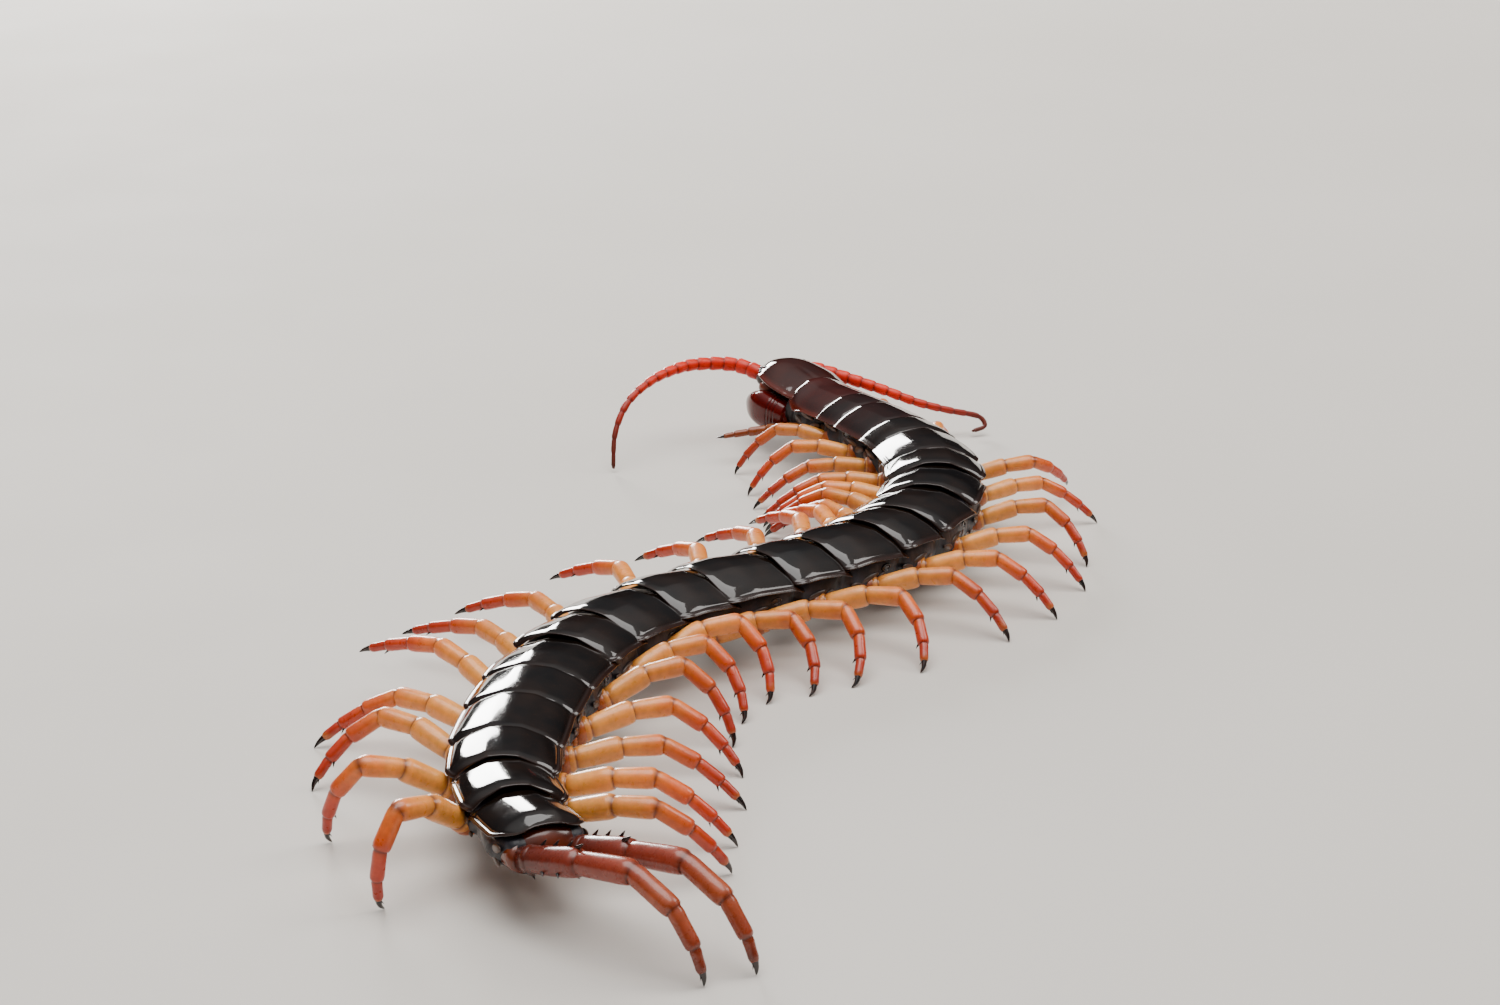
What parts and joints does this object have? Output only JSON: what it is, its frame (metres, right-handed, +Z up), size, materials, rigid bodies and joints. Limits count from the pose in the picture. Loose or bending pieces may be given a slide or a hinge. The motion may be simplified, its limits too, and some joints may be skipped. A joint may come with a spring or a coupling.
{
  "type": "giant centipede",
  "caption": "Still, life-size giant centipede walking in an S bend, with dark glossy back plates, orange legs, red antennae and trailing last legs.",
  "frame": {"origin": "centre of the model's box in plan, on the floor that the feet stand on", "axes": "+Y along the body towards the head, +X to the animal's right side, +Z up"},
  "size_m": [0.0837, 0.157, 0.0105],
  "materials": {
    "head_plate": "glossy dark maroon cuticle",
    "poison_claw": "glossy maroon cuticle, darker at the tips",
    "mouthparts": "satin reddish brown cuticle",
    "antenna": "satin red-orange cuticle, paler at the joints",
    "trunk_plates": "very glossy black-brown plates over dull blue-black membrane",
    "walking_leg": "satin orange cuticle, redder outwards, with black claws",
    "ultimate_leg": "glossy reddish brown cuticle"
  },
  "bodies": {
    "root": {"head": "head_plate", "coxosternite": "poison_claw", "forcipule_left": "poison_claw", "forcipule_right": "poison_claw", "maxillae": "mouthparts", "antenna_left": "antenna", "antenna_right": "antenna", "trunk_1": "trunk_plates", "trunk_2": "trunk_plates", "trunk_3": "trunk_plates", "trunk_4": "trunk_plates", "trunk_5": "trunk_plates", "trunk_6": "trunk_plates", "trunk_7": "trunk_plates", "leg_left_01": "walking_leg", "leg_left_02": "walking_leg", "leg_left_03": "walking_leg", "leg_left_04": "walking_leg", "leg_left_05": "walking_leg", "leg_left_06": "walking_leg", "leg_left_07": "walking_leg", "leg_left_08": "walking_leg", "leg_left_09": "walking_leg", "leg_left_10": "walking_leg", "leg_left_11": "walking_leg", "leg_left_12": "walking_leg", "leg_left_13": "walking_leg", "leg_left_14": "walking_leg", "leg_left_15": "walking_leg", "leg_left_16": "walking_leg", "leg_left_17": "walking_leg", "leg_left_18": "walking_leg", "leg_left_19": "walking_leg", "leg_left_20": "walking_leg", "leg_left_21": "ultimate_leg", "leg_right_01": "walking_leg", "leg_right_02": "walking_leg", "leg_right_03": "walking_leg", "leg_right_04": "walking_leg", "leg_right_05": "walking_leg", "leg_right_06": "walking_leg", "leg_right_07": "walking_leg", "leg_right_08": "walking_leg", "leg_right_09": "walking_leg", "leg_right_10": "walking_leg", "leg_right_11": "walking_leg", "leg_right_12": "walking_leg", "leg_right_13": "walking_leg", "leg_right_14": "walking_leg", "leg_right_15": "walking_leg", "leg_right_16": "walking_leg", "leg_right_17": "walking_leg", "leg_right_18": "walking_leg", "leg_right_19": "walking_leg", "leg_right_20": "walking_leg", "leg_right_21": "ultimate_leg"}
  },
  "joints": []
}
